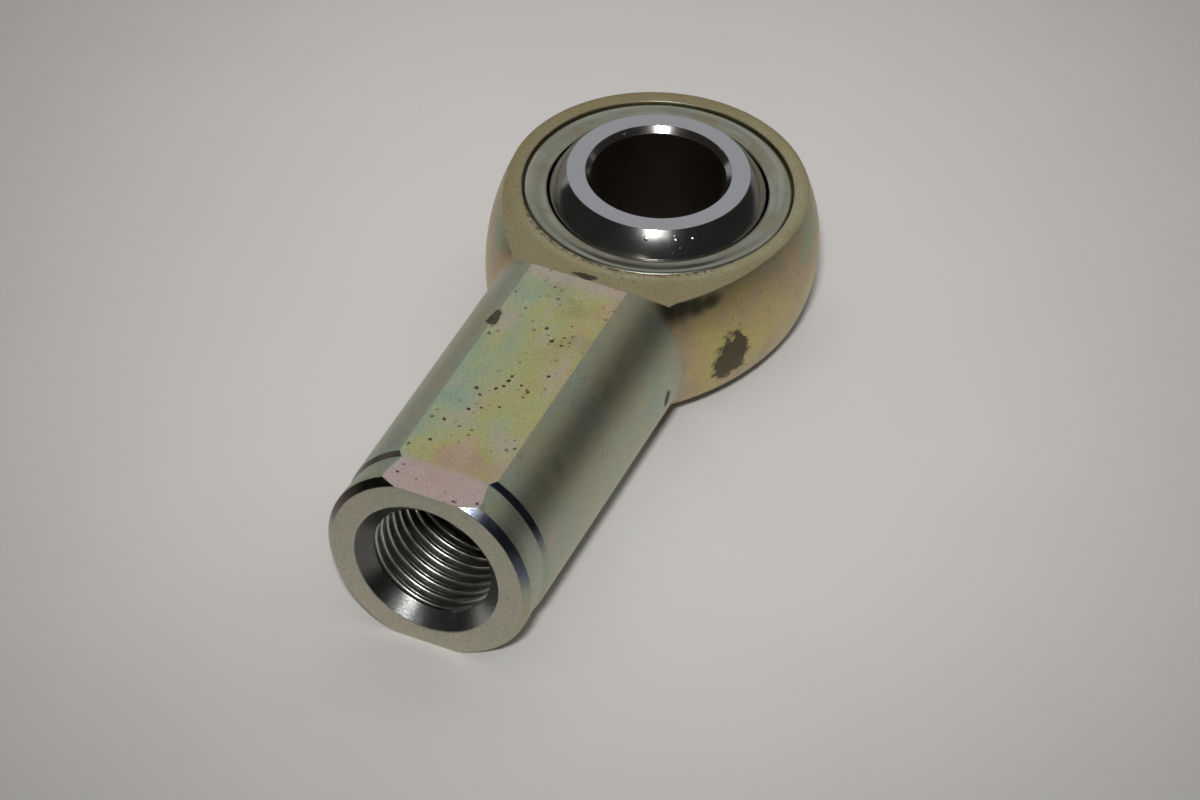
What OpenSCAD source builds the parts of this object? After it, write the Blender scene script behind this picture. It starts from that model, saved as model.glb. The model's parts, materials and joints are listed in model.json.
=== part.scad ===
// Female rod end with a self-aligning, double-row ball bearing in its eye.
// Origin: centre of the inner ring. +Z: bore axis. The threaded shank points along -Y.
// All dimensions are in millimetres.

/* [Inner ring] */
// Bore diameter of the inner ring
bore_d = 16; // [14:0.5:17]
// Width of the inner ring, face to face
ring_w = 20; // [19:0.5:21]
// Diameter of the inner ring's spherical outside
ring_sphere_d = 29.5; // [29:0.1:29.6]
// Chamfer at each end of the bore
bore_chamfer = 0.7; // [0.3:0.1:1]

/* [Eye] */
// Diameter of the spherical head
head_d = 39; // [38:0.5:44]
// Thickness of the head between its two faces
head_t = 15.5; // [15:0.5:16]
// Length of the face, from the bore axis to the foot of the 45 degree ramp
face_l = 19.6; // [19:0.2:22]
// Diameter of the spherical raceway in the head
raceway_d = 33.4; // [33.3:0.1:33.5]
// Diameter of the recess that takes a shield
recess_d = 32.3; // [32:0.1:33]
// Depth of that recess below the face
recess_depth = 1.15; // [1.1:0.05:1.3]

/* [Neck] */
// Radius of the long arc from the head to the neck
neck_r = 34; // [30:1:40]
// Angle past the head's widest circle where that arc starts
neck_start = 6; // [4:1:8]
// Fillet between the neck and the shank
neck_fillet = 3; // [2:0.5:4]

/* [Shank] */
// Distance from the bore axis to the open end of the shank
shank_l = 64; // [58:1:80]
// Diameter of the turned shank
shank_d = 25; // [24:0.5:26]
// Width across the two flats
flats_w = 22; // [21:0.5:23]
// Length of the relieved section at the open end
relief_l = 5.7; // [3:0.1:8]
// Depth of the step into that section
relief_depth = 0.3; // [0.1:0.05:0.5]
// Length of that step, which slopes
relief_step_l = 0.9; // [0.2:0.1:1.5]
// Diameter of the annular face at the open end
end_face_d = 23.3; // [22:0.1:24]
// Length of the chamfer around that face
end_chamfer_l = 0.95; // [0.5:0.05:1.5]

/* [Threaded hole] */
// Nominal thread diameter, at which the threaded wall is drawn
thread_d = 16; // [14:0.5:18]
// Thread pitch
thread_pitch = 1.5; // [1:0.25:2]
// Depth of full thread from the open end
thread_l = 28; // [20:1:32]
// Depth of the drilled hole, without its point
drill_l = 32; // [28:1:36]
// Mouth diameter of the countersink
mouth_d = 17.8; // [17:0.1:18.5]

/* [Balls and cage] */
// Ball diameter
ball_d = 3.5; // [3.4:0.05:3.5]
// Number of balls in each of the two rows
balls_per_row = 20; // [12:1:20]
// Distance of each row from the middle plane
row_z = 1.8; // [1.8:0.05:1.9]
// Gap between a ball and each raceway
ball_gap = 0.05; // [0.02:0.01:0.06]
// Thickness of the cage wall
cage_t = 1.2; // [0.8:0.1:1.2]
// Width of the cage
cage_w = 6.4; // [5:0.1:7]
// Gap between a ball and its pocket
pocket_gap = 0.1; // [0.05:0.01:0.15]

/* [Shields] */
// Inner diameter of each shield
shield_id = 26.3; // [26.2:0.1:26.6]
// Gap between a shield's rim and its recess
shield_gap = 0.05; // [0.01:0.01:0.1]

/* [Hidden] */
ring_r = ring_sphere_d / 2;
bore_r = bore_d / 2;
head_r = head_d / 2;
raceway_r = raceway_d / 2;
shank_r = shank_d / 2;
ball_r = ball_d / 2;
// distance from the origin to every ball's centre, and the same in the plane of a row
ball_reach = raceway_r - ball_r - ball_gap;
ball_ring_r = sqrt(ball_reach * ball_reach - row_z * row_z);
ball_lift = asin(row_z / ball_reach);
cage_r = (raceway_r + ring_r) / 2;
shelf_z = head_t / 2 - recess_depth;
minor_r = thread_d / 2 - 0.5413 * thread_pitch;
// the neck arc touches the head's circle here, in radius and distance along the shank
join_s = head_r * sin(neck_start);
arc_x = -(neck_r - head_r) * cos(neck_start);
arc_s = -(neck_r - head_r) * sin(neck_start);
// centre of the fillet, and where it meets the neck arc
fillet_x = shank_r + neck_fillet;
fillet_s = arc_s + sqrt(pow(neck_r + neck_fillet, 2) - pow(fillet_x - arc_x, 2));
meet = neck_r / (neck_r + neck_fillet);
meet_x = arc_x + (fillet_x - arc_x) * meet;
meet_s = arc_s + (fillet_s - arc_s) * meet;
fillet_steps = 10;
meet_angle = atan2(fillet_s - meet_s, fillet_x - meet_x);
steel = [0.66, 0.64, 0.50];
zinc = [0.66, 0.67, 0.64];
polished = [0.60, 0.61, 0.65];
brass = [0.71, 0.59, 0.32];
$fn = 96;

function ball_name(row, i) = str("ball_", row, "_", i < 9 ? "0" : "", i + 1);
ROWS = ["upper", "lower"];

// turns a child drawn along +Z so that it points down the shank
module along_shank() {
  rotate([90, 0, 0]) children();
}

// half-section of the head
module head_section() {
  intersection() {
    circle(r = head_r);
    translate([0, -head_r - 1]) square(2 * head_r + 2);
  }
}

// half-section of the neck: a long arc that leaves the head's circle without a corner
module neck_section() {
  intersection() {
    translate([arc_x, arc_s]) circle(r = neck_r);
    translate([0, join_s]) square([head_r, meet_s + 1 - join_s]);
  }
}

// point i of the fillet, counted from the neck to the shank
function fillet_point(i) =
  let (a = 180 + meet_angle * (1 - i / fillet_steps))
    [fillet_x + neck_fillet * cos(a), fillet_s + neck_fillet * sin(a)];

// half-section of the turned shank: the fillet, the relief and the end chamfer.
// Its start lies inside the neck, and the fillet's first edge is run back through the neck's surface.
module shank_section() {
  relief_s = shank_l - relief_l;
  polygon(concat(
    [[0, join_s + 1], [meet_x - 0.5, join_s + 1]],
    [3 * fillet_point(1) - 2 * fillet_point(2)],
    [for (i = [1 : fillet_steps]) fillet_point(i)],
    [
      [shank_r, relief_s],
      [shank_r - relief_depth, relief_s + relief_step_l],
      [shank_r - 0.05, shank_l - 1.9],
      [shank_r - 0.05, shank_l - end_chamfer_l],
      [end_face_d / 2, shank_l],
      [0, shank_l]
    ]
  ));
}

// block that leaves one head face, its 45 degree ramp and the shank's flat
module face_cutter() {
  half_t = head_t / 2;
  half_w = flats_w / 2;
  top = head_r + 10;
  rotate([90, 0, 90])
    linear_extrude(height = 2 * top, center = true)
      polygon([
        [head_r + 10, half_t],
        [head_r + 10, top],
        [-shank_l - 10, top],
        [-shank_l - 10, half_w],
        [-face_l - (half_w - half_t), half_w],
        [-face_l, half_t]
      ]);
}

// spherical raceway and the two shield recesses, as one hollow about Z
module eye_hollow() {
  rotate_extrude() {
    intersection() {
      circle(r = raceway_r);
      translate([0, -shelf_z]) square([raceway_r + 1, 2 * shelf_z]);
    }
    for (side = [0, 1])
      mirror([0, side]) translate([0, shelf_z]) square([recess_d / 2, recess_depth + 1]);
  }
}

// blind threaded hole with its countersink and drill point
module threaded_hole() {
  mouth_r = mouth_d / 2;
  wall_r = thread_d / 2;
  point_l = minor_r * tan(31);
  along_shank()
    rotate_extrude()
      polygon([
        [0, shank_l + 1],
        [mouth_r + 1, shank_l + 1],
        [wall_r, shank_l - (mouth_r - wall_r)],
        [wall_r, shank_l - thread_l],
        [minor_r, shank_l - thread_l - (wall_r - minor_r)],
        [minor_r, shank_l - drill_l],
        [0, shank_l - drill_l - point_l]
      ]);
}

module housing() {
  color(steel)
    difference() {
      along_shank()
        rotate_extrude() {
          head_section();
          neck_section();
          shank_section();
        }
      face_cutter();
      mirror([0, 0, 1]) face_cutter();
      eye_hollow();
      threaded_hole();
    }
}

// pressed sheet ring: a rim on the recess floor, a raised bead, a valley and a lip beside the ball
module shield() {
  rim_r = recess_d / 2 - shield_gap;
  in_r = shield_id / 2;
  z = shelf_z;
  color(zinc)
    rotate_extrude()
      polygon([
        [rim_r, z],
        [rim_r, z + 0.80],
        [rim_r - 0.22, z + 1.02],
        [rim_r - 0.65, z + 1.05],
        [rim_r - 1.05, z + 0.92],
        [rim_r - 1.50, z + 0.64],
        [rim_r - 1.90, z + 0.62],
        [in_r + 0.60, z + 0.76],
        [in_r + 0.15, z + 0.74],
        [in_r, z + 0.64],
        [in_r, z + 0.45],
        [in_r + 0.60, z + 0.42],
        [rim_r - 1.90, z + 0.24],
        [rim_r - 1.40, z + 0.24],
        [rim_r - 0.90, z + 0.50],
        [rim_r - 0.55, z + 0.50],
        [rim_r - 0.50, z]
      ]);
}

module shield_top() {
  shield();
}

module shield_bottom() {
  mirror([0, 0, 1]) shield();
}

// inner ring: a sphere cut by two faces, with a chamfered bore and two ball grooves
module inner_ring() {
  half_w = ring_w / 2;
  color(polished)
    rotate_extrude()
      difference() {
        intersection() {
          circle(r = ring_r);
          translate([bore_r, -half_w]) square([ring_r, ring_w]);
        }
        for (side = [0, 1])
          mirror([0, side]) {
            translate([ball_ring_r, row_z]) circle(r = ball_r + ball_gap);
            polygon([
              [bore_r - 1, half_w + 1],
              [bore_r + bore_chamfer + 1, half_w + 1],
              [bore_r - 1, half_w - bore_chamfer - 1]
            ]);
          }
      }
}

// places a child at ball i of a row: the rows are half a pitch out of step
module at_ball(row, i) {
  up = row == "upper";
  turn = 360 / balls_per_row * (i + (up ? 0.5 : 0));
  rotate([0, 0, turn])
    rotate([0, up ? -ball_lift : ball_lift, 0])
      translate([ball_reach, 0, 0])
        children();
}

// cage: a band of a spherical shell with one round pocket for each ball
module cage() {
  color(brass)
    difference() {
      rotate_extrude()
        intersection() {
          difference() {
            circle(r = cage_r + cage_t / 2);
            circle(r = cage_r - cage_t / 2);
          }
          translate([0, -cage_w / 2]) square([raceway_r, cage_w]);
        }
      for (row = ROWS)
        for (i = [0 : balls_per_row - 1])
          at_ball(row, i)
            rotate([0, 90, 0]) cylinder(r = ball_r + pocket_gap, h = 5, center = true);
    }
}

module ball(row, i) {
  color(polished)
    at_ball(row, i) sphere(r = ball_r, $fn = 48);
}

housing();
shield_top();
shield_bottom();
inner_ring();
cage();
for (row = ROWS)
  for (i = [0 : balls_per_row - 1])
    ball(row, i);
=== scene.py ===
"""Looks of a female rod end with a self-aligning ball bearing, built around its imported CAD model."""

import json
import math

import bmesh
import bpy
from mathutils import Matrix, Vector


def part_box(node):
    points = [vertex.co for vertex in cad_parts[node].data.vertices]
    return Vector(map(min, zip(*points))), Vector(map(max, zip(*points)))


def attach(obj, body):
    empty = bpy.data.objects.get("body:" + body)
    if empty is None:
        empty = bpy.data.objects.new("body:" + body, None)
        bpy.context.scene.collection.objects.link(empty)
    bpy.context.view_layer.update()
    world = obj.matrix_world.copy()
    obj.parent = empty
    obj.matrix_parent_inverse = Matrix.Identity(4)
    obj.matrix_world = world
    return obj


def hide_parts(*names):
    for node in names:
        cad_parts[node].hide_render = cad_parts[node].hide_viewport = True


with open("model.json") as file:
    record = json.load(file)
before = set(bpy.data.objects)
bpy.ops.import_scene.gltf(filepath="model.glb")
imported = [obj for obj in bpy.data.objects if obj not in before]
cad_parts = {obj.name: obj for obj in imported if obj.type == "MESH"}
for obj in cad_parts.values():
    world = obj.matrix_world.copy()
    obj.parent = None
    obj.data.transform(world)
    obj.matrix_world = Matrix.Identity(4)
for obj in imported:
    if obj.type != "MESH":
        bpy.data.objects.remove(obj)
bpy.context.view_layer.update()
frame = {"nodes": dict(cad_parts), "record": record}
MM = 0.001
WHITE = (1.0, 1.0, 1.0)
CREAM = (1.0, 0.995, 0.98)

# --- Sizes taken from the frame, in metres ---
RECORD = frame["record"]
NODES = frame["nodes"]
MOUNTS = {mount["name"]: mount for mount in RECORD["mounts"]}
HOUSING_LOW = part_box("housing")[0]
SHIELD_LOW, SHIELD_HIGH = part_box("shield_top")
SHANK_END = -HOUSING_LOW.y
FLOOR_Z = HOUSING_LOW.z
SHIELD_R = SHIELD_HIGH.x
BORE_R = MOUNTS["ring_bore"]["dims"]["r_mm"] * MM
THREAD_R = MOUNTS["rod_thread"]["dims"]["r_mm"] * MM
THREAD_L = MOUNTS["rod_thread"]["dims"]["length_mm"] * MM

# --- Sizes of the thread and the cone before it, in metres ---
THREAD_PITCH = 1.5 * MM
THREAD_HEIGHT = 0.5413 * THREAD_PITCH
THREAD_TAIL = 0.4 * MM  # plain bore left beyond the ridge
MOUTH_L = 0.9 * MM  # depth of the CAD countersink
CONE_L = MOUTH_L + THREAD_HEIGHT  # the cone runs on to the tops of the thread
SUNK = 0.1 * MM  # how far the foot of the ridge reaches into the wall
SKIN = 0.01 * MM  # how far the cone stands inside the CAD countersink

# --- Camera: angles in degrees, lengths in metres, the lens in millimetres ---
CAMERA_AZIMUTH = 22.43
CAMERA_ELEVATION = 41.60
CAMERA_ROLL = 2.21
CAMERA_DISTANCE = 0.5955
CAMERA_LENS = 155.6
CAMERA_TARGET = Vector((5.9, -29.7, 0.0)) * MM
LIGHT_TARGET = Vector((1.5, -14.0, 0.0)) * MM

# --- Places on the housing, in millimetres ---
END_Y = -SHANK_END / MM
NECK_Y = (-22.5, -20.5)  # the head's colours fade into the shank's between these
NECK_BAND_Y = (-26.2, -23.8)  # pink bands across the flats grow between these
END_BAND_Y = (END_Y + 5.8, END_Y + 4.4)
RIM_R = (16.8, 18.0)  # tan shade grows over the outer rim of the head's face
MOUTH_R = 8.88  # everything nearer the axis, in front of MOUTH_Y, is bare metal in the hole
MOUTH_Y = -30.0
CHAMFER_L = 0.95
CHAMFER_R = 11.5  # between the outer chamfer and the countersink
STEP_Y = (END_Y + 4.7, END_Y + 5.8)  # the step beside the open end, with its soft edges
STEP_EDGE = 0.2
MILL_CENTRE = (16.0, -43.0)
MILL_FEED = 0.32  # from one milling arc to the next
SQUARE_ON = 0.99  # cosine above which a surface counts as square to an axis

# centres and half sizes of soft patches where the film is thicker or thinner
THICK_FLAT = ((4.0, -50.0, 11.0), (2.2, 6.0, 3.0))
THIN_FLAT = ((0.0, -57.0, 11.0), (7.0, 2.0, 3.0))
THIN_HEAD = ((14.0, -12.0, 1.0), (7.0, 7.0, 8.0))

# centres and half sizes of the larger dark smudges
SMUDGES = [
    ((15.7, -13.8, -2.3), (2.3, 3.0, 3.9)),
    ((-6.0, -33.4, 10.9), (0.8, 1.4, 0.9)),
    ((-1.2, -18.8, 7.9), (1.5, 0.5, 0.6)),
    ((12.4, -25.4, -0.5), (0.7, 0.8, 1.2)),
]

# centres and half sizes of the painted shade in the corner under the face, beside the shank
PAINTED_CORNER_SHADE = [
    ((10.0, -19.9, 7.6), (1.7, 1.7, 1.7)),
    ((11.2, -18.6, 7.2), (1.6, 1.6, 1.3)),
    ((12.3, -17.2, 6.9), (1.6, 1.6, 1.1)),
    ((13.4, -15.7, 6.8), (1.5, 1.5, 0.8)),
]


# --- Camera and lamps ---
def direction(azimuth, elevation):
    """Unit vector towards a place seen from the object; azimuth 0 is -Y and 90 is +X."""
    turn, lift = math.radians(azimuth), math.radians(elevation)
    return Vector((math.sin(turn) * math.cos(lift), -math.cos(turn) * math.cos(lift), math.sin(lift)))


def aim(thing, target, roll=0.0):
    """Points a camera or lamp at target and rolls it clockwise about its own view."""
    look = (target - thing.location).normalized()
    thing.rotation_mode = "QUATERNION"
    turned = look.to_track_quat("-Z", "Y").to_matrix()
    right, up = turned.col[0].copy(), turned.col[1].copy()
    lean = math.radians(roll)
    turned.col[0] = right * math.cos(lean) + up * math.sin(lean)
    turned.col[1] = up * math.cos(lean) - right * math.sin(lean)
    thing.rotation_quaternion = turned.to_quaternion()


def make_camera():
    """The scene's camera, aimed at the middle of the part."""
    data = bpy.data.cameras.new("camera")
    data.lens = CAMERA_LENS
    data.sensor_width = 36.0
    data.clip_start, data.clip_end = 0.01, 20.0
    camera = bpy.data.objects.new("camera", data)
    bpy.context.scene.collection.objects.link(camera)
    camera.location = CAMERA_TARGET + direction(CAMERA_AZIMUTH, CAMERA_ELEVATION) * CAMERA_DISTANCE
    aim(camera, CAMERA_TARGET, CAMERA_ROLL)
    bpy.context.scene.camera = camera


def place_lamp(data, azimuth, elevation, distance, target=CAMERA_TARGET, colour=WHITE):
    """Puts a lamp in that direction from the part, aimed at target and not seen by the camera."""
    data.color = colour
    thing = bpy.data.objects.new(data.name, data)
    bpy.context.scene.collection.objects.link(thing)
    thing.location = CAMERA_TARGET + direction(azimuth, elevation) * distance
    thing.visible_camera = False
    aim(thing, target)
    return thing


def softbox(name, azimuth, elevation, distance, width, height, radiance, colour=WHITE):
    """A rectangular soft lamp of even brightness."""
    data = bpy.data.lights.new(name, "AREA")
    data.shape = "RECTANGLE"
    data.size = width
    data.size_y = height
    data.energy = radiance * math.pi * width * height
    return place_lamp(data, azimuth, elevation, distance, colour=colour)


# --- Helper for node materials ---
class Paint:
    """A node material under construction; its methods add nodes and return an output.

    All lengths are in millimetres. x, y and z are the object's own coordinates.
    """

    def __init__(self, name, metallic=1.0, specular=0.5):
        self.material = bpy.data.materials.new(name)
        self.material.use_nodes = True
        self.tree = self.material.node_tree
        self.tree.nodes.clear()
        self.shader = self.add("ShaderNodeBsdfPrincipled")
        self.shader.inputs["Metallic"].default_value = metallic
        self.shader.inputs["Specular IOR Level"].default_value = specular
        output = self.add("ShaderNodeOutputMaterial")
        self.link(self.shader.outputs[0], output.inputs[0])
        given = self.add("ShaderNodeTexCoord")
        self.facing = given.outputs["Normal"]
        self.place = self.vector_math("MULTIPLY", given.outputs["Object"], (1.0 / MM,) * 3)
        self.x, self.y, self.z = self.parts(self.place)

    def add(self, kind, **values):
        """Adds a node of this kind with these settings and returns the node itself."""
        node = self.tree.nodes.new(kind)
        for key, value in values.items():
            setattr(node, key, value)
        return node

    def link(self, source, socket):
        """Feeds a socket from an output, or sets it to a plain value."""
        if hasattr(source, "links"):
            self.tree.links.new(source, socket)
        else:
            socket.default_value = source

    def math(self, operation, *values, clamp=False):
        node = self.add("ShaderNodeMath", operation=operation, use_clamp=clamp)
        for socket, value in zip(node.inputs, values):
            self.link(value, socket)
        return node.outputs[0]

    def plus(self, first, *others):
        for other in others:
            first = self.math("ADD", first, other)
        return first

    def times(self, first, *others):
        for other in others:
            first = self.math("MULTIPLY", first, other)
        return first

    def gain(self, value, factor, shift, clamp=False):
        """value times factor, plus shift."""
        return self.math("MULTIPLY_ADD", value, factor, shift, clamp=clamp)

    def flip(self, value):
        """1 where value is 0, and 0 where it is 1."""
        return self.math("SUBTRACT", 1.0, value)

    def hypot(self, first, second):
        """Length of the flat vector with these two components."""
        return self.math("SQRT", self.plus(self.times(first, first), self.times(second, second)))

    def vector(self, x, y=0.0, z=0.0):
        node = self.add("ShaderNodeCombineXYZ")
        for socket, value in zip(node.inputs, (x, y, z)):
            self.link(value, socket)
        return node.outputs[0]

    def parts(self, vector):
        """The three components of a vector."""
        node = self.add("ShaderNodeSeparateXYZ")
        self.link(vector, node.inputs[0])
        return tuple(node.outputs)

    def vector_math(self, operation, *values):
        node = self.add("ShaderNodeVectorMath", operation=operation)
        for socket, value in zip(node.inputs, values):
            self.link(value, socket)
        return node.outputs["Value" if operation in ("LENGTH", "DOT_PRODUCT") else "Vector"]

    def stretched(self, *factors):
        """The object's coordinates, times a factor for each axis."""
        return self.vector_math("MULTIPLY", self.place, factors)

    def noise(self, size, detail=4.0, roughness=0.55, distortion=0.0, place=None):
        """Noise from 0 to 1 whose blotches are about size across."""
        node = self.add("ShaderNodeTexNoise")
        node.inputs["Scale"].default_value = 1.0 / size
        node.inputs["Detail"].default_value = detail
        node.inputs["Roughness"].default_value = roughness
        node.inputs["Distortion"].default_value = distortion
        self.link(self.place if place is None else place, node.inputs["Vector"])
        return node.outputs[0]

    def cells(self, size, place):
        """Distance to the nearest of many scattered points, and a colour drawn for that point."""
        node = self.add("ShaderNodeTexVoronoi", feature="F1")
        node.inputs["Scale"].default_value = 1.0 / size
        self.link(place, node.inputs["Vector"])
        return node.outputs["Distance"], node.outputs["Color"]

    def ramp(self, value, low, high, out_low=0.0, out_high=1.0):
        """Maps value from low..high to out_low..out_high, with soft ends."""
        node = self.add("ShaderNodeMapRange", interpolation_type="SMOOTHSTEP")
        for socket, given in zip(node.inputs, (value, low, high, out_low, out_high)):
            self.link(given, socket)
        return node.outputs[0]

    def mix(self, factor, first, second, blend="MIX"):
        """Mixes two colours."""
        node = self.add("ShaderNodeMix", data_type="RGBA", blend_type=blend)
        for socket, value in ((node.inputs[0], factor), (node.inputs[6], first), (node.inputs[7], second)):
            if isinstance(value, tuple):
                value = (*value, 1.0)
            self.link(value, socket)
        return node.outputs[2]

    def colours(self, value, stops):
        """A colour ramp with (position, colour) stops."""
        node = self.add("ShaderNodeValToRGB")
        ramp = node.color_ramp
        while len(ramp.elements) > 1:
            ramp.elements.remove(ramp.elements[-1])
        ramp.elements[0].position, ramp.elements[0].color = stops[0][0], (*stops[0][1], 1.0)
        for position, colour in stops[1:]:
            ramp.elements.new(position).color = (*colour, 1.0)
        self.link(value, node.inputs[0])
        return node.outputs[0]

    def specks(self, size, share):
        """Small ragged spots, 1 inside a spot, in about that share of the cells of this size."""
        ragged = self.add("ShaderNodeTexNoise")
        ragged.inputs["Scale"].default_value = 4.0 / size
        self.link(self.place, ragged.inputs["Vector"])
        shifted = self.vector_math("MULTIPLY_ADD", ragged.outputs["Color"], (0.4 * size,) * 3, self.place)
        away, drawn = self.cells(size, shifted)
        chance, spread, _ = self.parts(drawn)
        chosen = self.math("LESS_THAN", chance, share)
        return self.times(chosen, self.math("LESS_THAN", away, self.gain(spread, 0.22, 0.10)))

    def near(self, centre, radii, softness):
        """1 inside an ellipsoid and 0 outside, with a soft edge."""
        away = self.vector_math("DIVIDE", self.vector_math("SUBTRACT", self.place, centre), radii)
        return self.ramp(self.vector_math("LENGTH", away), 1.0 - softness, 1.0 + softness, 1.0, 0.0)

    def rounded(self, radius):
        """The normal, with edges rounded to this radius."""
        node = self.add("ShaderNodeBevel", samples=4)
        node.inputs["Radius"].default_value = radius * MM
        return node.outputs[0]

    def bump(self, height, depth, under=None):
        """Adds relief of that depth and returns the normal."""
        node = self.add("ShaderNodeBump")
        node.inputs["Strength"].default_value = 1.0
        node.inputs["Distance"].default_value = depth * MM
        self.link(height, node.inputs["Height"])
        if under is not None:
            self.link(under, node.inputs["Normal"])
        return node.outputs[0]

    def finish(self, colour, roughness, normal):
        """Feeds the shader and returns the material."""
        self.link(colour, self.shader.inputs["Base Color"])
        self.link(roughness, self.shader.inputs["Roughness"])
        self.link(normal, self.shader.inputs["Normal"])
        return self.material


# --- The housing's material ---
class Zones:
    """Radii on the housing, masks that are 1 in a region and 0 outside it, and noises its colours share."""

    def __init__(self, p):
        _, along, up = p.parts(p.facing)
        at_end = p.math("LESS_THAN", p.y, END_Y + 0.2)
        self.shank_r = p.hypot(p.x, p.z)
        self.eye_r = p.hypot(p.x, p.y)
        self.level = p.math("GREATER_THAN", p.math("ABSOLUTE", up), SQUARE_ON)
        self.shank = p.ramp(p.y, *NECK_Y, 1.0, 0.0)
        self.flat = p.times(self.level, self.shank)
        self.face = p.times(self.level, p.flip(self.shank))
        self.end = p.times(p.math("GREATER_THAN", p.math("ABSOLUTE", along), SQUARE_ON), at_end)
        self.mouth = p.times(p.math("LESS_THAN", self.shank_r, MOUTH_R), p.math("LESS_THAN", p.y, MOUTH_Y))
        self.wander = p.noise(8.0, detail=3.0, distortion=0.5, place=p.stretched(1.3, 0.75, 1.0))
        self.fine = p.noise(1.3, detail=6.0, roughness=0.65)


def flat_film(p, zones):
    """Colours on the wrench flats: thicker film on the left, pink in bands near both ends."""
    film = p.plus(p.gain(zones.wander, 1.1, -0.22), p.gain(zones.fine, 0.22, -0.11))
    film = p.plus(film, p.ramp(p.x, -3.5, 3.0, 0.20, -0.16))
    film = p.gain(p.near(*THICK_FLAT, 0.6), 0.30, film)
    film = p.gain(p.near(*THIN_FLAT, 0.6), -0.25, film)
    colour = p.colours(film, [
        (0.02, (0.68, 0.52, 0.35)),
        (0.16, (0.67, 0.60, 0.28)),
        (0.34, (0.62, 0.64, 0.31)),
        (0.48, (0.57, 0.63, 0.39)),
        (0.62, (0.48, 0.61, 0.43)),
        (0.78, (0.40, 0.59, 0.48)),
        (0.95, (0.52, 0.58, 0.49)),
    ])
    patches = p.times(p.ramp(p.noise(5.0, place=p.stretched(1.6, 0.7, 1.0)), 0.46, 0.74), 0.65)
    end_band = p.ramp(p.y, *END_BAND_Y)
    neck_band = p.ramp(p.y, *NECK_BAND_Y, 0.0, 0.7)
    pink = p.math("MAXIMUM", patches, p.math("MAXIMUM", end_band, neck_band))
    return p.mix(pink, colour, p.mix(zones.wander, (0.78, 0.56, 0.49), (0.69, 0.61, 0.60)))


def shank_film(p, zones):
    """Colours on the round sides of the shank."""
    film = p.plus(p.gain(zones.wander, 1.3, -0.15), p.gain(zones.fine, 0.3, -0.15))
    return p.colours(film, [
        (0.15, (0.47, 0.46, 0.30)),
        (0.45, (0.46, 0.46, 0.33)),
        (0.62, (0.40, 0.46, 0.36)),
        (0.85, (0.48, 0.43, 0.35)),
    ])


def head_film(p, zones):
    """Colours on the ball-shaped side of the head."""
    film = p.plus(p.gain(p.noise(9.0, detail=2.0), 1.3, -0.15), p.gain(zones.fine, 0.10, -0.05))
    film = p.gain(p.near(*THIN_HEAD, 0.8), -0.22, film)
    return p.colours(film, [
        (0.05, (0.50, 0.45, 0.20)),
        (0.25, (0.55, 0.48, 0.20)),
        (0.40, (0.53, 0.44, 0.22)),
        (0.52, (0.50, 0.39, 0.26)),
        (0.64, (0.43, 0.42, 0.27)),
        (0.80, (0.38, 0.44, 0.29)),
        (0.95, (0.40, 0.42, 0.30)),
    ])


def face_film(p):
    """Colours on the head's flat faces, browner towards the back left."""
    colour = p.colours(p.noise(7.0), [
        (0.25, (0.46, 0.40, 0.22)),
        (0.50, (0.52, 0.48, 0.30)),
        (0.75, (0.53, 0.50, 0.34)),
    ])
    brown = p.ramp(p.plus(p.x, p.times(p.y, -0.6)), 4.0, -12.0, 0.0, 0.6)
    return p.mix(brown, colour, (0.38, 0.31, 0.16))


def end_film(p):
    """Colours on the ring-shaped face at the open end."""
    return p.colours(p.noise(5.0), [
        (0.30, (0.49, 0.51, 0.40)),
        (0.55, (0.54, 0.52, 0.41)),
        (0.75, (0.60, 0.51, 0.47)),
    ])


def film_colour(p, zones):
    """The chromate film over the whole housing, and the bare metal in the thread's mouth, darker towards -X
    and lighter towards +X as a painted highlight.
    """
    # bare metal in the mouth: darker towards -X, and lighter towards +X where it paints the countersink's
    # highlight brighter
    mouth_with_painted_highlight = p.mix(p.ramp(p.x, -8.0, 2.0), (0.15, 0.15, 0.14), (0.40, 0.41, 0.40))
    colour = p.mix(zones.shank, head_film(p, zones), shank_film(p, zones))
    colour = p.mix(zones.face, colour, face_film(p))
    colour = p.mix(zones.flat, colour, flat_film(p, zones))
    colour = p.mix(zones.end, colour, end_film(p))
    return p.mix(zones.mouth, colour, mouth_with_painted_highlight)


def add_rust(p, zones, colour):
    """A tan shade on the face's outer rim, and rust along the joint with the shield."""
    rim = p.times(zones.face, p.ramp(zones.eye_r, *RIM_R, 0.0, 0.5))
    colour = p.mix(rim, colour, (0.38, 0.30, 0.16))
    nearer = p.ramp(p.y, -6.0, -13.0, 0.25, 1.0)
    beyond = p.math("SUBTRACT", zones.eye_r, p.gain(nearer, 0.7, SHIELD_R / MM + 0.15))
    zone = p.times(p.ramp(beyond, 0.0, -0.7), zones.face)
    rust = p.times(zone, p.ramp(p.noise(0.7, roughness=0.7), 0.44, 0.56))
    return p.mix(p.times(rust, 0.85), colour, (0.10, 0.06, 0.025))


def burnished_with_dark_reflection(p, zones):
    """Mask of the smooth metal on the upper parts of the chamfer and the step at the open end, where a dark
    reflection is painted into the colour.
    """
    low, high = STEP_Y
    tilted = p.flip(p.math("MAXIMUM", zones.level, zones.end))
    chamfer = p.times(p.math("LESS_THAN", p.y, END_Y + CHAMFER_L), tilted)
    chamfer = p.times(chamfer, p.math("GREATER_THAN", zones.shank_r, CHAMFER_R), p.ramp(p.z, 0.5, 4.0))
    step = p.times(p.ramp(p.y, low, low + STEP_EDGE), p.ramp(p.y, high - STEP_EDGE, high, 1.0, 0.0))
    step = p.times(step, p.ramp(p.z, 2.0, 6.5), p.flip(zones.level))
    return p.math("MAXIMUM", chamfer, step)


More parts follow.
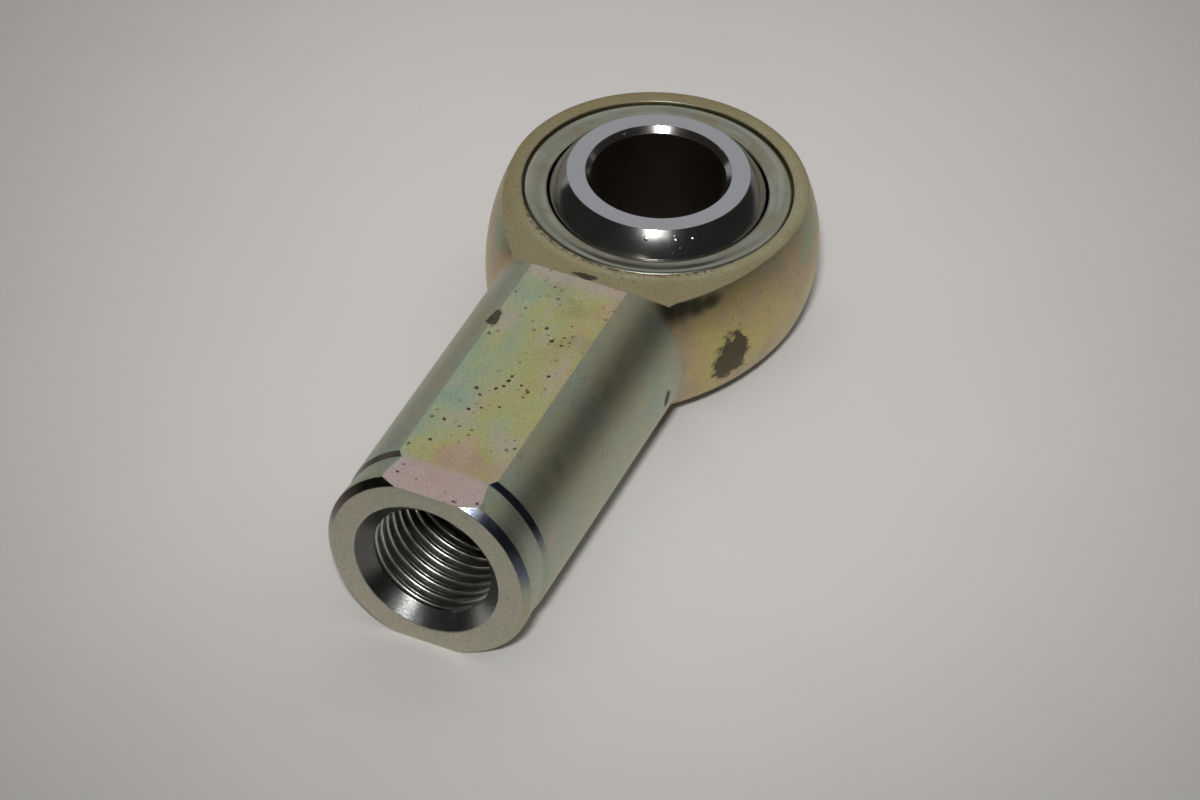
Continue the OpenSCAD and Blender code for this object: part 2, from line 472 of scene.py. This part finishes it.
def dark_marks(p, zones):
    """Mask of small dark pits, mostly on the flats, and of a few larger smudges."""
    crowd = p.times(p.ramp(p.noise(7.0, detail=2.0), 0.42, 0.62), p.gain(zones.flat, 0.8, 0.2))
    pits = p.times(p.specks(0.90, 0.55), crowd, 0.9)
    tiny = p.times(p.specks(0.55, 0.09), p.gain(zones.flat, 0.7, 0.3), 0.6)
    ragged = p.gain(p.noise(1.2, detail=5.0, roughness=0.65), 1.8, -0.9)
    smudges = 0.0
    for centre, radii in SMUDGES:
        spot = p.ramp(p.plus(p.near(centre, radii, 0.7), ragged), 0.40, 0.75)
        smudges = p.math("MAXIMUM", smudges, spot)
    return p.math("MAXIMUM", p.math("MAXIMUM", pits, tiny), p.times(smudges, 0.85))


def add_painted_corner_shade(p, zones, colour):
    """Painted shade: a soft dark patch in the corner under the face."""
    painted_shade = 0.0
    for centre, radii in PAINTED_CORNER_SHADE:
        painted_shade = p.math("MAXIMUM", painted_shade, p.near(centre, radii, 0.65))
    return p.mix(p.times(painted_shade, p.flip(zones.level), 0.85), colour, (0.055, 0.055, 0.045))


def housing_relief(p, zones, marks, rounded):
    """Normal with milling arcs on the flats, turned rings elsewhere, and a fine matt grain all over."""
    mill_x, mill_y = MILL_CENTRE
    from_mill = p.vector(p.math("SUBTRACT", p.x, mill_x), p.math("SUBTRACT", p.y, mill_y))
    arcs = p.math("SINE", p.times(p.vector_math("LENGTH", from_mill), 2 * math.pi / MILL_FEED))
    arcs = p.times(arcs, zones.flat, p.ramp(p.noise(6.0), 0.45, 0.65, 0.15, 1.0))
    turned = p.noise(0.16, detail=2.0, place=p.vector(0.0, p.y))
    turned = p.mix(zones.end, turned, p.noise(0.20, detail=2.0, place=p.vector(zones.shank_r)))
    turned = p.mix(zones.face, turned, p.noise(0.22, detail=2.0, place=p.vector(zones.eye_r)))
    turned = p.times(turned, p.flip(zones.flat))
    normal = p.bump(p.noise(0.22, roughness=0.6), 0.014, rounded)
    normal = p.bump(turned, 0.006, normal)
    normal = p.bump(arcs, 0.014, normal)
    return p.bump(p.flip(marks), 0.03, normal)


def pale_edges(p, rounded):
    """Mask of the edges, found where the rounded normal leaves the true one."""
    true_normal = p.add("ShaderNodeNewGeometry").outputs["Normal"]
    alike = p.vector_math("DOT_PRODUCT", rounded, true_normal)
    return p.times(p.ramp(alike, 0.985, 0.90), p.ramp(p.noise(2.5), 0.35, 0.6, 0.25, 0.9))


def housing_paint():
    """Forged and turned steel with a zinc coat and an iridescent yellow chromate film."""
    p = Paint("chromated_zinc")
    zones = Zones(p)
    burnish_and_reflection = burnished_with_dark_reflection(p, zones)
    marks = dark_marks(p, zones)
    rounded = p.rounded(0.22)

    colour = add_rust(p, zones, film_colour(p, zones))
    # painted reflection: the chamfer and the step are coloured dark, bluish towards +X, for the dark room
    # they reflect; their lower roughness is real
    painted_reflection_colour = p.mix(p.ramp(p.x, -2.0, 4.0), (0.13, 0.11, 0.09), (0.16, 0.18, 0.24))
    colour = p.mix(p.times(burnish_and_reflection, p.ramp(zones.fine, 0.2, 0.5, 0.65, 1.0)), colour, painted_reflection_colour)
    colour = p.mix(marks, colour, (0.060, 0.055, 0.045))
    # painted shade in the corner under the face, beside the shank
    colour = add_painted_corner_shade(p, zones, colour)
    # the edges are painted paler
    colour = p.mix(pale_edges(p, rounded), colour, (0.66, 0.65, 0.58))
    tooth = p.ramp(p.noise(0.17, detail=2.0), 0.3, 0.7, 0.86, 1.10)
    colour = p.mix(1.0, colour, p.vector(tooth, tooth, tooth), "MULTIPLY")

    roughness = p.gain(p.noise(2.2, detail=5.0), 0.18, 0.30)
    roughness = p.gain(burnish_and_reflection, -0.20, roughness)
    roughness = p.gain(zones.mouth, -0.16, roughness)
    roughness = p.gain(marks, 0.25, roughness, clamp=True)
    return p.finish(colour, roughness, housing_relief(p, zones, marks, rounded))


# --- The other materials ---
def ring_paint():
    """Hardened bearing steel: ground faces, a polished sphere and bore with the bore painted dark as shade,
    and a trace of oil.
    """
    p = Paint("bearing_steel")
    up = p.parts(p.facing)[2]
    radius = p.hypot(p.x, p.y)
    is_face = p.math("GREATER_THAN", p.math("ABSOLUTE", up), SQUARE_ON)
    in_bore = p.math("LESS_THAN", radius, BORE_R / MM + 0.03)
    on_sphere = p.flip(p.math("MAXIMUM", is_face, in_bore))
    cloud = p.noise(4.0, detail=5.0)
    away, _ = p.cells(0.9, p.place)
    oily = p.times(p.ramp(p.noise(3.5, detail=1.0), 0.55, 0.62), on_sphere)
    drops = p.times(p.ramp(away, 0.30, 0.05), oily)

    sphere_colour = p.colours(cloud, [(0.3, (0.40, 0.39, 0.37)), (0.7, (0.48, 0.47, 0.46))])
    # painted shade: the bore is coloured dark
    bore_shade_colour = p.mix(cloud, (0.13, 0.10, 0.085), (0.20, 0.165, 0.15))
    colour = p.mix(is_face, sphere_colour, (0.55, 0.56, 0.60))
    colour = p.mix(p.times(drops, 0.3), colour, (0.55, 0.48, 0.33))
    colour = p.mix(in_bore, colour, bore_shade_colour)
    ground = p.noise(0.12, detail=3.0, place=p.vector(radius, p.z))
    normal = p.bump(ground, 0.0015, p.rounded(0.15))
    normal = p.bump(drops, 0.05, normal)
    roughness = p.plus(p.times(is_face, 0.20), p.gain(cloud, 0.10, 0.11))
    return p.finish(colour, p.gain(in_bore, 0.26, roughness), normal)


def shield_paint():
    """Pressed sheet steel with pale, clear zinc."""
    p = Paint("clear_zinc")
    radius = p.hypot(p.x, p.y)
    around = p.vector(radius, p.times(p.math("ARCTAN2", p.y, p.x), 1.2), p.z)
    cloud = p.noise(4.5)
    colour = p.colours(cloud, [
        (0.30, (0.42, 0.46, 0.35)),
        (0.50, (0.46, 0.47, 0.41)),
        (0.70, (0.49, 0.45, 0.34)),
    ])
    streaks = p.ramp(p.noise(0.9, detail=3.0, place=around), 0.35, 0.65, 0.0, 0.5)
    colour = p.mix(streaks, colour, (0.25, 0.25, 0.19))
    dirt = p.times(p.specks(0.8, 0.12), 0.6)
    stain = p.times(p.ramp(radius, 14.6, 14.9, 0.5, 0.0), p.ramp(cloud, 0.4, 0.6))
    colour = p.mix(p.math("MAXIMUM", dirt, stain), colour, (0.30, 0.27, 0.17))
    normal = p.bump(p.noise(0.25, detail=3.0, place=around), 0.008)
    normal = p.bump(p.noise(0.5), 0.008, normal)
    return p.finish(colour, p.gain(p.noise(2.0), 0.14, 0.25), normal)


def thread_paint():
    """Cut thread: bare, oily steel, painted darker towards the roots as shade."""
    p = Paint("cut_thread")
    root_r = THREAD_R / MM
    root_shade = p.ramp(p.hypot(p.x, p.z), root_r - 0.7, root_r - 0.1)
    cloud = p.noise(1.4, detail=5.0, roughness=0.65)
    colour = p.colours(cloud, [(0.35, (0.50, 0.50, 0.46)), (0.65, (0.66, 0.65, 0.61))])
    # painted shade, darkening the flanks towards the roots
    colour = p.mix(root_shade, colour, (0.30, 0.29, 0.25))
    return p.finish(colour, p.gain(cloud, 0.24, 0.20), p.bump(p.noise(0.35), 0.015))


def cage_paint():
    """Turned brass with a faint tarnish."""
    p = Paint("cage_brass")
    cloud = p.noise(2.0)
    colour = p.colours(cloud, [(0.3, (0.62, 0.44, 0.18)), (0.7, (0.74, 0.56, 0.26))])
    return p.finish(colour, p.gain(cloud, 0.2, 0.22), p.bump(p.noise(0.2, detail=3.0), 0.004))


def floor_paint():
    """Matt off-white card with a faint tooth and a few scuffs."""
    p = Paint("pale_card", metallic=0.0, specular=0.2)
    cloud = p.noise(60.0, detail=3.0)
    colour = p.colours(cloud, [(0.3, (0.735, 0.710, 0.690)), (0.7, (0.775, 0.750, 0.730))])
    scuff = p.times(p.ramp(p.noise(5.0, detail=6.0, roughness=0.7), 0.66, 0.78), 0.10)
    colour = p.mix(scuff, colour, (0.45, 0.43, 0.41))
    return p.finish(colour, p.gain(cloud, 0.1, 0.75), p.bump(p.noise(0.6), 0.02))


def make_paints():
    """One material for each of the record's material slots, and one for the cut thread."""
    return {
        "chromated_steel": housing_paint(),
        "bearing_steel": ring_paint(),
        "cage_brass": cage_paint(),
        "zinc_sheet": shield_paint(),
        "cut_thread": thread_paint(),
    }


def paint_nodes(paints):
    """Gives every CAD node its material."""
    slots = {part["node"]: part["material_slot"] for part in RECORD["subparts"]}
    for name, node in NODES.items():
        for place in node.material_slots:
            place.material = paints[slots[name]]


# --- Meshes ---
def new_piece(name, mesh_builder, material, body, smooth_angle):
    """Wraps a bmesh builder's result as a piece of the object."""
    mesh = bpy.data.meshes.new(name)
    made = bmesh.new()
    mesh_builder(made)
    bmesh.ops.recalc_face_normals(made, faces=made.faces)
    made.to_mesh(mesh)
    made.free()
    mesh.materials.append(material)
    for face in mesh.polygons:
        face.use_smooth = True
    mesh.set_sharp_from_angle(angle=math.radians(smooth_angle))
    piece = bpy.data.objects.new(name, mesh)
    bpy.context.scene.collection.objects.link(piece)
    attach(piece, body)
    return piece


def bridge(made, here, there):
    """Joins two closed loops of vertices with a band of faces."""
    for i in range(len(here)):
        j = (i + 1) % len(here)
        made.faces.new((here[i], there[i], there[j], here[j]))


def lathe(made, outline, steps=240):
    """Turns a closed outline of (radius, z) points about Z."""
    rings = []
    for step in range(steps):
        turn = 2 * math.pi * step / steps
        rings.append([made.verts.new((r * math.cos(turn), r * math.sin(turn), z)) for r, z in outline])
    for here, there in zip(rings, rings[1:] + rings[:1]):
        bridge(made, here, there)


def smooth_curve(points, steps=6):
    """Catmull-Rom curve through open points."""
    out = []
    padded = [points[0]] + list(points) + [points[-1]]
    for i in range(1, len(padded) - 2):
        a, b, c, d = (Vector(padded[i + k]) for k in (-1, 0, 1, 2))
        for step in range(steps):
            t = step / steps
            out.append(0.5 * (2 * b + (c - a) * t + (2 * a - 5 * b + 4 * c - d) * t * t
                              + (3 * b - a - 3 * c + d) * t ** 3))
    out.append(Vector(points[-1]))
    return [tuple(point) for point in out]


def shield_outline():
    """Section of a shield: a rounded bead beside the housing, a shallow valley and a lip beside the ball.

    The points below are in millimetres, with heights over the CAD shield's underside.
    """
    rim, lip = SHIELD_R / MM - 0.10, 13.15
    upper = smooth_curve([
        (rim, 0.02), (rim, 0.35), (rim - 0.12, 0.75), (rim - 0.40, 0.97), (rim - 0.80, 1.00),
        (rim - 1.20, 0.92), (rim - 1.60, 0.83), (rim - 2.00, 0.80), (rim - 2.40, 0.80),
        (lip + 0.20, 0.76), (lip + 0.04, 0.66), (lip, 0.56),
    ])
    lower = smooth_curve([
        (lip, 0.50), (lip + 0.08, 0.44), (rim - 2.30, 0.46), (rim - 1.80, 0.44),
        (rim - 1.30, 0.48), (rim - 0.90, 0.56), (rim - 0.55, 0.48), (rim - 0.40, 0.02),
    ])
    return [(r * MM, z * MM + SHIELD_LOW.z) for r, z in upper + lower]


def make_shields(paints):
    """A smooth sheet in place of each CAD shield."""
    outline = shield_outline()
    for node, side in (("shield_top", 1), ("shield_bottom", -1)):
        turned = [(r, side * z) for r, z in outline]
        piece = new_piece(node + "_sheet", lambda made: lathe(made, turned), paints["zinc_sheet"], "housing",
                          60)
        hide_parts(node)


def thread_section():
    """The ridge's section with rounded flanks, as (shift along the axis, height over its foot) points."""
    root_half, crest_half = THREAD_PITCH * 7 / 16, THREAD_PITCH / 8
    flank_steps, rounding = 10, 0.7
    flank = []
    for i in range(flank_steps + 1):
        t = i / flank_steps
        rise = t - rounding * math.sin(2 * math.pi * t) / (2 * math.pi)
        flank.append((root_half - (root_half - crest_half) * t, THREAD_HEIGHT * rise + SUNK))
    foot = root_half + SUNK
    return [(-foot, 0.0)] + [(-shift, height) for shift, height in flank] + flank[::-1] + [(foot, 0.0)]


def make_thread(paints):
    """Right-handed ridge inside the plain bore, which sinks into the wall over its last half turn."""
    section = thread_section()
    start, stop = SHANK_END - CONE_L, SHANK_END - THREAD_L + THREAD_TAIL
    per_turn = 96
    steps = int((start - stop) / THREAD_PITCH * per_turn)

    def build(made):
        rings = []
        for step in range(steps + 1):
            turn = 2 * math.pi * step / per_turn
            centre = start - THREAD_PITCH * step / per_turn
            grown = min(1.0, (steps - step) / (0.5 * per_turn))
            ring = []
            for shift, height in section:
                radius = THREAD_R + SUNK - height * grown
                along = min(centre + shift, start + SUNK)
                ring.append(made.verts.new((radius * math.sin(turn), -along, radius * math.cos(turn))))
            rings.append(ring)
        for here, there in zip(rings, rings[1:]):
            bridge(made, here, there)
        made.faces.new(rings[0])
        made.faces.new(rings[-1][::-1])

    new_piece("thread_ridge", build, paints["cut_thread"], "housing", 25)


def make_mouth(paints):
    """The cone before the thread, a hair inside the CAD countersink and closed within the steel."""
    lip_r, sunk_r = THREAD_R - THREAD_HEIGHT, THREAD_R + SUNK
    outline = [
        (THREAD_R + MOUTH_L - 2 * SKIN, SHANK_END - SKIN),
        (lip_r - SKIN, SHANK_END - CONE_L),
        (lip_r + 4 * SKIN, SHANK_END - CONE_L - 0.35 * MM),
        (sunk_r, SHANK_END - CONE_L - 0.6 * MM),
        (sunk_r, SHANK_END - MOUTH_L - 0.2 * MM),
        (THREAD_R + MOUTH_L + 5 * SKIN, SHANK_END - 0.2 * MM),
    ]

    def build(made):
        lathe(made, outline)
        bmesh.ops.rotate(made, matrix=Matrix.Rotation(math.radians(90), 3, "X"), verts=made.verts)

    new_piece("mouth_cone", build, paints["chromated_steel"], "housing", 25)


# --- Surroundings ---
def make_floor():
    """A flat sheet of card that the part rests on."""
    mesh = bpy.data.meshes.new("floor")
    made = bmesh.new()
    bmesh.ops.create_grid(made, x_segments=8, y_segments=8, size=1.6)
    made.to_mesh(mesh)
    made.free()
    mesh.materials.append(floor_paint())
    floor = bpy.data.objects.new("floor", mesh)
    floor.location.z = FLOOR_Z
    bpy.context.scene.collection.objects.link(floor)


def make_light():
    """A flash beside the camera, pale walls behind and beside the part, a ceiling and a dim room."""
    flash = bpy.data.lights.new("flash", "SPOT")
    flash.energy = 26.5
    flash.spot_size = math.radians(13.2)
    flash.spot_blend = 1.0
    flash.shadow_soft_size = 0.05
    place_lamp(flash, CAMERA_AZIMUTH - 3.0, CAMERA_ELEVATION + 8.0, 1.0, LIGHT_TARGET)
    softbox("back_wall", 191.0, 45.0, distance=1.2, width=2.6, height=1.1, radiance=0.48, colour=CREAM)
    softbox("side_wall", 236.0, 12.0, distance=1.2, width=0.9, height=0.5, radiance=0.40, colour=CREAM)
    softbox("wide_flash", CAMERA_AZIMUTH + 1.0, CAMERA_ELEVATION + 1.0, distance=1.0, width=0.42,
            height=0.12, radiance=0.9)
    ceiling = softbox("ceiling", 0.0, 89.0, distance=1.8, width=2.6, height=2.6, radiance=0.24)
    ceiling.visible_glossy = False
    world = bpy.data.worlds.new("room")
    world.use_nodes = True
    background = world.node_tree.nodes["Background"]
    background.inputs["Color"].default_value = (1.0, 0.98, 0.95, 1.0)
    background.inputs["Strength"].default_value = 0.03
    bpy.context.scene.world = world
    bpy.context.scene.view_settings.view_transform = "Standard"


make_camera()
make_light()
make_floor()
paints = make_paints()
paint_nodes(paints)
make_shields(paints)
make_thread(paints)
make_mouth(paints)
